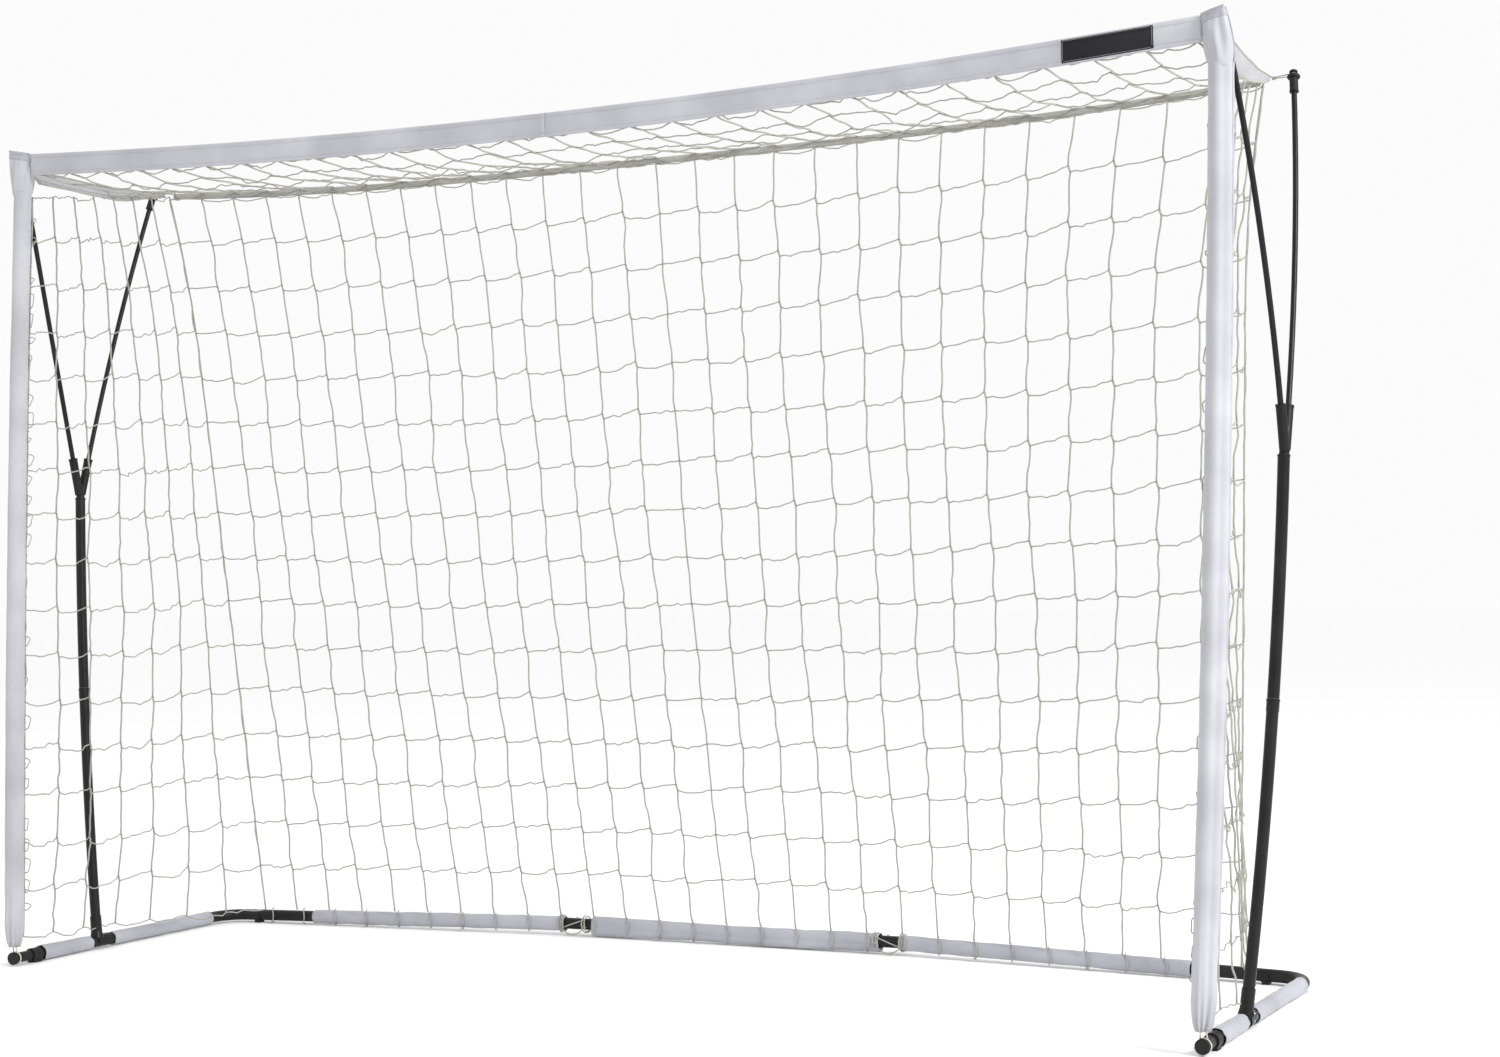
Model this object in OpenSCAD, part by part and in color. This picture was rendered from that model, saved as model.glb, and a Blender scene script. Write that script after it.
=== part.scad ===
// Portable soccer goal: a steel ground frame, two sprung side uprights with flexible rods,
// fabric posts and crossbar, and a knotted net. Millimetres, +Z up, opening towards -Y.

/* [Goal] */
// Distance between the side rails, axis to axis
goal_w = 3000; // [2400:10:3600]
// Height of the outer tip of a top corner above the floor
goal_h = 2030; // [1990:5:2060]
// Distance from the front of an end cap to where a rail's axis meets the rear leg's
rail_l = 832; // [790:1:880]
// How far the middle of the rear bar stands behind the rear corners
rear_bow = 100; // [60:1:120]
// How far the middle of the rear bar is lifted by the net
rear_lift = 12; // [4:1:18]

/* [Ground frame] */
// Outer diameter of the rails and the rear tube
rail_d = 29; // [28:0.5:30]
// Wall thickness of the rails and the rear tube
rail_wall = 1.8; // [1.5:0.1:2]
// Height of the rail axis above the floor
rail_z = 19; // [19:0.5:21]
// Bend radius of a rear corner, on the tube axis
bend_r = 75; // [60:5:100]
// Half the length of the middle rear tube
slip_x = 466; // [440:1:480]
// Outer diameter of the stub inside the front end of a rail
stub_d = 25.2; // [24:0.1:25.3]
// Outer diameter of an end cap
cap_d = 31; // [30:0.5:33]
// Outer diameter of a rail sleeve
sleeve_d = 37.6; // [37:0.1:38]

/* [Uprights] */
// Distance of an upright from the front of the end cap
upright_y = 306; // [295:1:315]
// Outer diameter of an upright
upright_d = 25; // [24:0.5:26]
// Wall thickness of an upright
upright_wall = 1.5; // [1.2:0.1:1.6]
// Outward lean of an upright at its socket, in degrees
lean_out = 6.8; // [6.6:0.1:7]
// Outward lean of an upright at its fork, in degrees
neck_lean = 1.9; // [1.7:0.1:2.1]
// Backward lean of an upright, in degrees
lean_back = 2.8; // [2.7:0.05:2.9]
// Distance along an upright to the seam between its two tubes
seam_s = 652; // [600:1:700]
// Distance along an upright to its fork
neck_s = 1143; // [1140:1:1145]
// Diameter of a flexible rod
rod_d = 12; // [11:0.5:12]
// Depth that an upright stands in its socket
socket_depth = 46; // [46:1:50]

/* [Soft parts] */
// Diameter of a post sleeve
post_d = 50; // [44:1:52]
// Height of the crossbar band
bar_h = 54; // [48:1:60]
// Drop of the crossbar's middle below its ends
bar_sag = 45; // [30:1:50]
// Spacing of the net's main strands
mesh_size = 218; // [150:1:300]
// Thickness of the net twine
twine = 2.4; // [2:0.1:3]

/* [Hidden] */
SIDES = ["left", "right"];
PAIRS = ["rail", "rear_spigot", "front_stub", "end_cap", "front_foot", "rear_foot", "socket", "button",
    "button_spring", "lower_upright", "upright_spigot", "upper_upright", "y_connector", "front_rod",
    "rear_rod", "rod_tip", "cord_knob", "tie_cord", "post_sleeve", "post_loop", "corner_pocket", "gusset",
    "front_rail_sleeve", "rear_rail_sleeve", "rear_bar_sleeve", "side_net"];

round_fn = 48;
soft_fn = 32;
arc_fn = 1800;
eps = 0.01;

half_w = goal_w / 2;
rail_r = rail_d / 2;
rail_bore = rail_r - rail_wall;
sleeve_r = sleeve_d / 2;
sleeve_wall = 0.9;
button_r = 3.5;
button_hole_r = 3.7;
leaf_w = 6;
leaf_t = 0.8;

// Rear corner and leg. The leg bends less than a right angle, so that the rear bar bows back.
leg_a = atan(rear_bow / (half_w - slip_x));
lift_a = atan(rear_lift / (half_w - slip_x));
turn_a = 90 - leg_a;
bend_start = rail_l - bend_r * tan(turn_a / 2);
bend_in = bend_r * (1 - cos(turn_a));
bend_along = bend_r * sin(turn_a);
leg_l = ((half_w - slip_x) / cos(lift_a) - bend_in) / sin(turn_a);
rear_y = rail_l + rear_bow / cos(lift_a);
rear_z = rail_z + rear_lift;
rear_spigot_half = 65;
spigot_half = 60;
button_x = slip_x - 25;
joint_gap = 0.4;
leg_gap = 1.9;

// The object's own origin is at the middle of its depth.
post_bottom = [half_w - 0.5, 7, 49];
post_top = [half_w + 41.5, 115, goal_h - 101];
post_bow = 9;
post_r = post_d / 2;
y_front = post_bottom.y - post_r;
y_mid = (y_front + rear_y + sleeve_r) / 2;

// Upright centreline: a straight foot, then one large arc, in a plane that leans back.
upright_r = upright_d / 2;
upright_bore = upright_r - upright_wall;
spigot_r = upright_bore - 0.1;
socket_r = 14.3;
socket_floor = 18;
socket_bore = upright_r + 0.4;
straight_s = 18;
bow_r = (neck_s - straight_s) / ((lean_out - neck_lean) * PI / 180);
function up_a(s) = s < straight_s ? lean_out : lean_out - (s - straight_s) / bow_r * 180 / PI;
function up_arc(s) = straight_s * [sin(lean_out), cos(lean_out)] + bow_r * (
    [-cos(lean_out), sin(lean_out)] + [cos(up_a(s)), -sin(up_a(s))]);
function up_flat(s) = s < straight_s ? s * [sin(lean_out), cos(lean_out)] : up_arc(s);
function up_pt(s) = [half_w + up_flat(s).x, upright_y + up_flat(s).y * sin(lean_back),
    rail_z + up_flat(s).y * cos(lean_back)];

// Rods: arcs from inside the fork to the corner pocket and to the rear tip.
rod_r = rod_d / 2;
arm_r = 10.75;
arm_l = 95;
arm_bore = rod_r + 0.4;
arm_bore_l = 58;
front_rod_a = [half_w + 89.6, 351.5, 1205.7];
front_rod_b = [half_w + 51.5, 124, goal_h - 40];
front_rod_side = [0.69, 0.73, 0];
front_rod_sag = 13.5;
rear_rod_a = [half_w + 89.6, 379.4, 1206.7];
rear_rod_b = [half_w + 57.8, 622, goal_h - 63];
rear_rod_side = [1, -0.16, 0];
rear_rod_sag = 10.3;

// Top corner: an inner end on the crossbar and an outer tip that stands up.
ear_in = [half_w + 16, 108, goal_h - 17];
ear_out = [half_w + 56, 89, goal_h - 4];
pocket_wall = 3;
bar_end = half_w + 9;
bar_top = goal_h - 11;
bar_y = 111;
bar_t = 8;
strap_end = half_w - 16;
strap_z = goal_h - 92;
strap_rise = 36;
strap_h = 16;
tail = [half_w + 8, 618, goal_h - 58];
strap_y = 625;
strap_t = 4;
patch_x = [0.812 * half_w, 0.94 * half_w];
function strap_mid(x) = strap_z + strap_rise * pow(abs(x) / strap_end, 3);

front_sleeve = [100, upright_y - 30];
rear_sleeve = [upright_y + 52, rail_l - 84];
leg_sleeve_x = [half_w - 275, slip_x + 9];
middle_sleeve_x = [-390, 420];

// Small fittings
cap_t = 9;
rail_front = 70;
stub_l = rail_front + 65 - cap_t;
stub_bore = stub_d / 2 - 1.6;
plug_l = 26;
saddle_r = rail_r + 2.6;
saddle_l = 60;
ear_l = 26;
rear_foot_x = 100;
rear_foot_w = 20;
rear_spigot_r = rail_bore - 0.1;
rear_spigot_bore = rear_spigot_r - 1.6;
button_flange_r = 5.5;
button_flange_t = 1.6;
button_flange_z = 7.2;
button_proud = 4;
collar_l = 27;
collar_lip = 5;
stem_l = 55;
rim_h = 4;
tip_r = 7.6;
tip_l = 30;
tip_end = 3;
ferrule_r = 9.2;
ferrule_l = 32;
ferrule_end = 8;
flange_r = 14;
flange_h = 9;
groove_r = 5.5;
groove_h = 4;
knob_r = 9;
knob_h = 7;
cord_r = 1.2;
loop_y = 14;
post_wall = 1.5;
bar_steps = 24;

// Rivets through a saddle: distance along the rail, and angle from the top towards the outside
rivet_spots = [[-4, 52], [20, 52], [8, 100]];
rivet_r = 2;
rivet_head_r = 3.4;

// Nets: bottom and top heights, and where the back and the sides stand there
net_rows = 8;
net_z = [64, goal_h - 108];
back_y = [815, 612];
side_x = [half_w - 28, half_w - 6];

function unit(v) = v / norm(v);
function across(a, b, side) = unit(side - (side * unit(b - a)) * unit(b - a));
function arc_r(l, sag) = (l * l / 4 + sag * sag) / (2 * sag);
function arc_half(l, sag) = asin(l / 2 / arc_r(l, sag));
function start_dir(a, b, side, sag) = unit(b - a) * cos(arc_half(norm(b - a), sag))
    + across(a, b, side) * sin(arc_half(norm(b - a), sag));
function end_dir(a, b, side, sag) = unit(b - a) * cos(arc_half(norm(b - a), sag))
    - across(a, b, side) * sin(arc_half(norm(b - a), sag));
front_rod_dir = start_dir(front_rod_a, front_rod_b, front_rod_side, front_rod_sag);
rear_rod_dir = start_dir(rear_rod_a, rear_rod_b, rear_rod_side, rear_rod_sag);
front_end_dir = end_dir(front_rod_a, front_rod_b, front_rod_side, front_rod_sag);
rear_end_dir = end_dir(rear_rod_a, rear_rod_b, rear_rod_side, rear_rod_sag);

// Placing
module right_side() { translate([0, -y_mid, 0]) children(); }
module left_side() { translate([0, -y_mid, 0]) mirror([1, 0, 0]) children(); }
module on_side(name) {
    if (name == "right") right_side() children();
    else left_side() children();
}

// Puts +Z along d and +X as near as it goes to side, with the origin at p
module aim(p, d, side = [1, 0, 0]) {
    tilt = acos(d.z / norm(d));
    spin = atan2(d.y, d.x);
    x1 = [cos(tilt) * cos(spin), cos(tilt) * sin(spin), -sin(tilt)];
    y1 = [-sin(spin), cos(spin), 0];
    translate(p) rotate([0, tilt, spin]) rotate([0, 0, atan2(side * y1, side * x1)]) children();
}

module ring(r, bore) {
    difference() {
        circle(r, $fn = round_fn);
        if (bore > 0) circle(bore, $fn = round_fn);
    }
}

// A tube or rod from a to b that bulges by sag towards side
module bowed(a, b, side, sag) {
    l = norm(b - a);
    big = arc_r(l, sag);
    half = arc_half(l, sag);
    aim(a, b - a, side) translate([sag - big, 0, l / 2]) rotate([90, 0, 0]) rotate([0, 0, -half])
        rotate_extrude(angle = 2 * half, $fn = arc_fn) translate([big, 0]) children();
}

module tube(l, r, bore) { linear_extrude(l) ring(r, bore); }

// The upright's plane: +Z up along the lean, +X outward, origin on the rail axis
module upright_plane() {
    translate([half_w, upright_y, rail_z]) rotate([-lean_back, 0, 0]) children();
}

// The straight foot of an upright, from s0 to s1
module upright_foot(s0, s1, r, bore) {
    upright_plane() rotate([0, lean_out, 0]) translate([0, 0, s0]) tube(s1 - s0, r, bore);
}

// The arc of an upright, from s0 to s1
module upright_arc(s0, s1, r, bore) {
    c = straight_s * [sin(lean_out), cos(lean_out)] + bow_r * [-cos(lean_out), sin(lean_out)];
    upright_plane() translate([c.x, 0, c.y]) rotate([90, 0, 0]) rotate([0, 0, -up_a(s0)])
        rotate_extrude(angle = up_a(s0) - up_a(s1), $fn = 4 * arc_fn) translate([bow_r, 0]) ring(r, bore);
}

// Origin on the upright's axis at s, +X outward across the tube, +Z along it
module on_upright(s) {
    p = up_flat(s);
    upright_plane() translate([p.x, 0, p.y]) rotate([0, up_a(s), 0]) children();
}

// Ground frame
module leg_frame() {
    translate([half_w, 0, rail_z]) rotate([0, lift_a, 0]) translate([0, bend_start, 0]) children();
}

module leg_start() {
    leg_frame() translate([-bend_in, bend_along, 0]) rotate([0, 0, turn_a]) rotate([-90, 0, 0]) children();
}

module rail() {
    color([0.10, 0.10, 0.11]) {
        leg_frame() translate([0, rail_front - bend_start, 0]) rotate([-90, 0, 0])
            tube(bend_start - rail_front, rail_r, rail_bore);
        leg_frame() translate([-bend_r, 0, 0]) rotate_extrude(angle = turn_a, $fn = 4 * round_fn)
            translate([bend_r, 0]) ring(rail_r, rail_bore);
        leg_start() tube(leg_l - leg_gap, rail_r, rail_bore);
    }
}

module rear_tube() {
    color([0.10, 0.10, 0.11]) difference() {
        translate([-slip_x + joint_gap, rear_y, rear_z]) rotate([0, 90, 0])
            tube(2 * (slip_x - joint_gap), rail_r, rail_bore);
        for (s = [-1, 1]) translate([s * button_x, rear_y, rear_z])
            cylinder(h = rail_d, r = button_hole_r, $fn = round_fn);
    }
}

// A rear spigot: one straight half lies in the rear tube and the other in the leg
module rear_spigot() {
    half_l = rear_spigot_half - 1;
    color([0.45, 0.45, 0.47]) {
        difference() {
            translate([slip_x - rear_spigot_half, rear_y, rear_z]) rotate([0, 90, 0])
                tube(half_l, rear_spigot_r, rear_spigot_bore);
            translate([button_x, rear_y, rear_z]) cylinder(h = rail_d, r = button_hole_r, $fn = round_fn);
        }
        leg_start() translate([0, 0, leg_l - rear_spigot_half]) tube(half_l, rear_spigot_r,
            rear_spigot_bore);
    }
}

// A snap button that stands up through the rear tube, with a flange under the spigot's wall
module button() {
    neck = 2;
    stem = rail_r + button_proud - button_flange_z;
    color([0.72, 0.72, 0.74]) translate([button_x, rear_y, rear_z + button_flange_z])
        rotate_extrude($fn = round_fn) {
            square([button_flange_r, button_flange_t]);
            square([button_r, stem - neck]);
            intersection() {
                translate([0, stem - button_r]) circle(button_r, $fn = round_fn);
                translate([0, stem - neck]) square([button_r, neck]);
            }
        }
}

// A folded leaf inside the spigot that presses the button up
module button_spring() {
    top = button_flange_z - 0.1;
    bottom = 0.5 - rear_spigot_bore;
    behind = 8;
    length = 34;
    color([0.6, 0.6, 0.62]) translate([button_x + behind, rear_y + leaf_w / 2, rear_z]) rotate([90, 0, 0])
        linear_extrude(leaf_w) polygon([[0, top], [-length, bottom + leaf_t], [-length - 2, bottom],
            [0, bottom], [0, bottom + leaf_t], [leaf_t * 4 - length, bottom + leaf_t], [0, top - leaf_t]]);
}

module front_stub() {
    color([0.22, 0.22, 0.22]) translate([half_w, cap_t, rail_z]) rotate([-90, 0, 0])
        tube(stub_l, stub_d / 2, stub_bore);
}

// A round cap with a rolled edge and a plug inside the stub
module end_cap() {
    edge = 2.5;
    color([0.06, 0.06, 0.06]) translate([half_w, 0, rail_z]) rotate([-90, 0, 0])
        rotate_extrude($fn = round_fn) {
            square([cap_d / 2 - edge, cap_t]);
            translate([0, edge]) square([cap_d / 2, cap_t - edge]);
            intersection() {
                translate([cap_d / 2 - edge, edge]) circle(edge, $fn = round_fn);
                square([cap_d / 2, edge]);
            }
            square([stub_bore - 0.1, cap_t + plug_l]);
        }
}

// A collar on the rail's front end with a pad down to the floor
module front_foot() {
    pad_w = 22;
    foot_l = 33;
    foot_y = rail_front - 7;
    color([0.05, 0.05, 0.05]) difference() {
        translate([half_w, foot_y, 0]) union() {
            translate([0, 0, rail_z]) rotate([-90, 0, 0]) cylinder(h = foot_l, r = rail_r + 1.9,
                $fn = round_fn);
            translate([-pad_w / 2, 3, 0]) cube([pad_w, foot_l - 6, rail_z]);
        }
        translate([half_w, foot_y - 1, rail_z]) rotate([-90, 0, 0])
            cylinder(h = 8 + eps, r = stub_d / 2 + 0.05, $fn = round_fn);
        translate([half_w, rail_front, rail_z]) rotate([-90, 0, 0])
            cylinder(h = foot_l, r = rail_r + 0.02, $fn = round_fn);
    }
}

// A clip under the leg beside each rear corner
module rear_foot() {
    along = rear_foot_x / sin(turn_a) - bend_in;
    mid_y = rail_l + rear_foot_x * tan(leg_a);
    clip_r = rail_r + 2.2;
    pad_l = 22;
    color([0.05, 0.05, 0.05]) difference() {
        union() {
            leg_start() translate([0, 0, along - rear_foot_w / 2])
                cylinder(h = rear_foot_w, r = clip_r, $fn = round_fn);
            translate([half_w - rear_foot_x - rear_foot_w / 2 + 2, mid_y - pad_l / 2, 0])
                cube([rear_foot_w - 4, pad_l, rail_z - 4]);
        }
        leg_start() translate([0, 0, along - rear_foot_w])
            cylinder(h = 2 * rear_foot_w, r = rail_r + 0.02, $fn = round_fn);
        translate([half_w - rear_foot_x - rear_foot_w, mid_y - 2 * pad_l, rail_z + 6])
            cube([2 * rear_foot_w, 4 * pad_l, 2 * clip_r]);
    }
}

// A saddle over the rail with a leaning socket and an ear on the outside
module socket() {
    color([0.07, 0.07, 0.07]) difference() {
        union() {
            intersection() {
                translate([half_w, upright_y - saddle_l / 2 + 20, rail_z]) rotate([-90, 0, 0])
                    cylinder(h = saddle_l - 10, r = saddle_r, $fn = round_fn);
                translate([half_w - saddle_r - 1, upright_y - saddle_l, rail_z - 2])
                    cube([2 * saddle_r + 2, 2 * saddle_l, saddle_r + 4]);
            }
            intersection() {
                translate([half_w, upright_y - ear_l / 2 + 6, rail_z]) rotate([-90, 0, 0])
                    cylinder(h = ear_l, r = saddle_r, $fn = round_fn);
                translate([half_w + 2, upright_y - saddle_l, rail_z - 15]) cube([saddle_r,
                    2 * saddle_l, 20]);
            }
            upright_foot(2, socket_floor + socket_depth, socket_r, 0);
            upright_plane() rotate([0, lean_out, 0]) translate([0, 0, 8])
                cylinder(h = 16, r1 = socket_r + 3.2, r2 = socket_r, $fn = round_fn);
        }
        translate([half_w, upright_y - 2 * saddle_l, rail_z]) rotate([-90, 0, 0])
            cylinder(h = 4 * saddle_l, r = rail_r + 0.02, $fn = round_fn);
        upright_foot(socket_floor, socket_floor + socket_depth + 5, socket_bore, 0);
        for (p = rivet_spots) rivet_place(p) {
            cylinder(h = 12, r = rivet_r + 0.02, center = true, $fn = soft_fn);
            translate([0, 0, 0.2]) cylinder(h = 8, r = rivet_head_r - 0.2, $fn = soft_fn);
        }
    }
}

module rivet_place(p) {
    translate([half_w, upright_y + p[0], rail_z]) rotate([0, p[1], 0]) translate([0, 0, saddle_r])
        children();
}
module rivets() {
    for (p = rivet_spots) rivet_place(p) rotate_extrude($fn = soft_fn) {
        translate([0, rail_r + 0.3 - saddle_r]) square([rivet_r, saddle_r - rail_r - 0.3]);
        intersection() {
            translate([0, -1.6]) circle(rivet_head_r, $fn = soft_fn);
            translate([0, 0.35]) square([4, 4]);
        }
        translate([0, -0.1]) square([rivet_r, 1]);
    }
}
module socket_rivets() {
    color([0.7, 0.7, 0.7]) {
        right_side() rivets();
        left_side() rivets();
    }
}

// Uprights
module lower_upright() {
    color([0.09, 0.09, 0.10]) {
        difference() {
            union() {
                upright_arc(socket_floor + 0.1, seam_s - joint_gap, upright_r, 0);
                on_upright(seam_s - collar_l) cylinder(h = collar_l - 2, r = upright_r + 0.8,
                    $fn = round_fn);
                on_upright(seam_s - collar_lip - 1) cylinder(h = collar_lip - 1, r = upright_r + 1.6,
                    $fn = round_fn);
            }
            upright_arc(straight_s - 5, seam_s + 1, upright_bore, 0);
        }
    }
}

module upright_spigot() {
    color([0.5, 0.5, 0.52]) upright_arc(seam_s - spigot_half, seam_s + spigot_half, spigot_r,
        spigot_r - 1.9);
}

module upper_upright() {
    color([0.09, 0.09, 0.10]) upright_arc(seam_s, neck_s, upright_r, upright_bore);
}

// Fork: a stem in the upright, a rim on its top, a neck, and two arms bored for the rods
module y_connector() {
    knot = (front_rod_a + rear_rod_a) / 2 - [0, 0, 28];
    neck = up_pt(neck_s);
    arms = [[front_rod_a, front_rod_dir], [rear_rod_a, rear_rod_dir]];
    color([0.06, 0.06, 0.06]) difference() {
        union() {
            upright_arc(neck_s - stem_l, neck_s + 0.5, spigot_r, 0);
            on_upright(neck_s + 0.1) cylinder(h = rim_h, r = upright_r + 0.8, $fn = round_fn);
            aim(neck, knot - neck) cylinder(h = norm(knot - neck), r = arm_r - 0.2, $fn = round_fn);
            for (a = arms) {
                aim(a[0] - a[1] * (arm_l - arm_bore_l), a[1]) cylinder(h = arm_l, r = arm_r,
                    $fn = round_fn);
                aim(a[0] + a[1] * (arm_bore_l - rim_h), a[1])
                    cylinder(h = rim_h, r = arm_r + 0.8, $fn = round_fn);
            }
        }
        for (a = arms) aim(a[0], a[1]) cylinder(h = arm_l, r = arm_bore, $fn = round_fn);
    }
}

module front_rod() {
    color([0.08, 0.08, 0.08]) bowed(front_rod_a, front_rod_b, front_rod_side, front_rod_sag)
        ring(rod_r, 0);
}

module rear_rod() {
    color([0.08, 0.08, 0.08]) bowed(rear_rod_a, rear_rod_b, rear_rod_side, rear_rod_sag)
        ring(rod_r, 0);
}

// Moulded tip on the front rod, inside the corner pocket
module rod_tip() {
    color([0.05, 0.05, 0.05]) difference() {
        aim(front_rod_b - front_end_dir * tip_l, front_end_dir)
            cylinder(h = tip_l + tip_end, r = tip_r, $fn = round_fn);
        aim(front_rod_b - front_end_dir * (tip_l + 1), front_end_dir)
            cylinder(h = tip_l + 1 + eps, r = rod_r + 0.15, $fn = round_fn);
    }
}

// Rear tip: a ferrule on the rod, a wide flange, a groove for the cord and a knob
module cord_knob() {
    top = ferrule_l + flange_h + groove_h;
    color([0.05, 0.05, 0.05]) aim(rear_rod_b - rear_end_dir * (ferrule_l - ferrule_end), rear_end_dir)
        difference() {
        rotate_extrude($fn = round_fn) {
            square([ferrule_r, ferrule_l]);
            square([ferrule_r + 0.7, 4]);
            translate([0, ferrule_l]) square([flange_r - flange_h / 2, flange_h]);
            translate([flange_r - flange_h / 2, ferrule_l + flange_h / 2]) circle(flange_h / 2,
                $fn = round_fn);
            square([groove_r, top + 1]);
            translate([0, top]) square([knob_r - knob_h / 2, knob_h]);
            translate([knob_r - knob_h / 2, top + knob_h / 2]) circle(knob_h / 2, $fn = round_fn);
        }
        translate([0, 0, -1]) cylinder(h = ferrule_l - ferrule_end + 1 + eps, r = rod_r + 0.15,
            $fn = round_fn);
    }
}

// A cord round the knob's groove that holds the tail of the gusset
module tie_cord() {
    loop_r = groove_r + cord_r + 0.1;
    c = rear_rod_b + rear_end_dir * (ferrule_end + flange_h + groove_h / 2);
    color([0.9, 0.9, 0.87]) {
        aim(c, rear_end_dir) rotate_extrude($fn = round_fn) translate([loop_r, 0]) circle(cord_r,
            $fn = soft_fn);
        for (s = [-1, 1]) {
            from = c + s * loop_r * [-0.3, 0.9, -0.2];
            level = across(c, c + rear_end_dir, tail - from);
            aim(from, level) cylinder(h = norm(tail - from) - 6, r = cord_r - 0.3, $fn = soft_fn);
        }
    }
}

// Fabric post: a bowed tube of cloth
module post_sleeve() {
    color([0.86, 0.86, 0.89]) bowed(post_bottom, post_top, [1, 0, 0], post_bow)
        ring(post_r, post_r - post_wall);
}

// Elastic loop round the stub, behind the end cap, that holds the foot of the post
module post_loop() {
    loop_r = stub_d / 2 + cord_r + 0.1;
    color([0.92, 0.91, 0.86]) {
        translate([half_w, loop_y, rail_z]) rotate([90, 0, 0]) rotate_extrude($fn = round_fn)
            translate([loop_r, 0]) circle(cord_r, $fn = soft_fn);
        translate([half_w, loop_y, rail_z + loop_r - cord_r / 2]) rotate([18, 0, 0])
            cylinder(h = 12, r = cord_r, $fn = soft_fn);
    }
}

// Sewn pocket on a top corner, with a slanted ridge and room for the rod's tip
module corner_pocket() {
    color([0.84, 0.84, 0.88]) difference() {
        hull() {
            aim(post_top + unit(post_top - post_bottom) * 0.5, post_top - post_bottom)
                cylinder(h = 2, r = post_r - 1, $fn = soft_fn);
            translate(ear_in) sphere(3, $fn = 16);
            translate(ear_out) sphere(4, $fn = 16);
            translate(front_rod_b) sphere(tip_r + pocket_wall, $fn = 24);
            translate(front_rod_b - front_end_dir * 34) sphere(tip_r + pocket_wall, $fn = 24);
        }
        aim(front_rod_b - front_end_dir * 80, front_end_dir) cylinder(h = 80 + 3.5, r = tip_r + 0.5,
            $fn = soft_fn);
    }
}

// White triangle of cloth from the top corner back to the rear tip
module gusset() {
    t = 1.6;
    color([0.93, 0.93, 0.93]) hull() {
        for (p = [[half_w + 34, 152, goal_h - 36], [half_w + 2, 152, goal_h - 64], tail, tail + [2, 0, 8]])
            translate(p) sphere(t, $fn = 16);
    }
}

// Crossbar: a flat band whose upper edge sags between the corners
function bar_z(x) = bar_top - bar_sag * (1 - pow(x / bar_end, 2));
module band(x0, x1, low, high, step) {
    xs = [for (i = [0:step]) x0 + (x1 - x0) * i / step];
    polygon(concat([for (x = xs) [x, bar_z(x) + high]], [for (i = [step:-1:0]) [xs[i], bar_z(xs[i])
        + low]]));
}
module crossbar_sleeve() {
    color([0.85, 0.85, 0.88]) translate([0, bar_y + bar_t / 2 - y_mid, 0]) rotate([90, 0, 0])
        linear_extrude(bar_t) difference() {
            band(-bar_end, bar_end, -bar_h, 0, bar_steps);
            band(-bar_end + 2, bar_end - 2, -bar_h + 2.2, -2.2, bar_steps);
        }
}

// Plain sewn patch on the crossbar's right half
module crossbar_patch() {
    color([0.12, 0.12, 0.14]) translate([0, bar_y - bar_t / 2 - 0.05 - y_mid, 0]) rotate([90, 0, 0])
        linear_extrude(1) band(patch_x[0], patch_x[1], -bar_h + 4, -4, 6);
}

// Rear strap between the two rear tips
module rear_strap() {
    xs = [for (i = [-bar_steps:2:bar_steps]) i / bar_steps * strap_end];
    up = [for (x = xs) [x, strap_mid(x) + strap_h / 2]];
    down = [for (i = [len(xs) - 1:-1:0]) [xs[i], strap_mid(xs[i]) - strap_h / 2]];
    color([0.82, 0.82, 0.78]) translate([0, strap_y + strap_t / 2 - y_mid, 0]) rotate([90, 0, 0])
        linear_extrude(strap_t) polygon(concat(up, down));
}

// Sleeves on the ground frame
module rail_sleeve(span) {
    color([0.86, 0.86, 0.88]) translate([half_w, span[0], rail_z]) rotate([-90, 0, 0])
        tube(span[1] - span[0], sleeve_r, sleeve_r - sleeve_wall);
}
module rear_bar_sleeve() {
    from = (half_w - leg_sleeve_x[0]) / sin(turn_a) - bend_in;
    to = (half_w - leg_sleeve_x[1]) / sin(turn_a) - bend_in;
    color([0.84, 0.84, 0.87]) leg_start() translate([0, 0, from])
        tube(to - from, sleeve_r, sleeve_r - sleeve_wall);
}
module rear_middle_sleeve() {
    color([0.84, 0.84, 0.87]) translate([middle_sleeve_x[0], rear_y - y_mid, rear_z]) rotate([0, 90, 0])
        tube(middle_sleeve_x[1] - middle_sleeve_x[0], sleeve_r, sleeve_r - sleeve_wall);
}

// A flat net: bottom and top edges are [start, end] along the first axis, rows run up to h
module net(bottom, top, h, across_n, up_n) {
    w = twine / 2;
    function at(u, v) = [(bottom[0] + (bottom[1] - bottom[0]) * u) * (1 - v)
        + (top[0] + (top[1] - top[0]) * u) * v, h * v];
    cells = [for (j = [0:up_n - 1], i = [0:across_n - 1]) [i, j]];
    corners = [[0, 0], [1, 0], [1, 1], [0, 1]];
    inset = [[w, w], [-w, w], [-w, -w], [w, -w]];
    outer = [for (k = [0:3]) at(corners[k].x, corners[k].y) - inset[k]];
    holes = [for (c = cells, k = [0:3]) at((c.x + corners[k].x) / across_n, (c.y + corners[k].y)
        / up_n) + inset[k]];
    linear_extrude(twine) polygon(concat(outer, holes),
        concat([[0, 1, 2, 3]], [for (n = [0:len(cells) - 1]) [for (k = [0:3]) 4 + 4 * n + k]]));
}
module back_net() {
    lean = atan((back_y[0] - back_y[1]) / (net_z[1] - net_z[0]));
    half = half_w - 28;
    color([0.9, 0.9, 0.87]) translate([0, back_y[0] - y_mid, net_z[0]]) rotate([90 + lean, 0, 0])
        net([-half, half], [-half, half], (net_z[1] - net_z[0]) / cos(lean),
            round(2 * half / mesh_size), net_rows);
}

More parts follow.
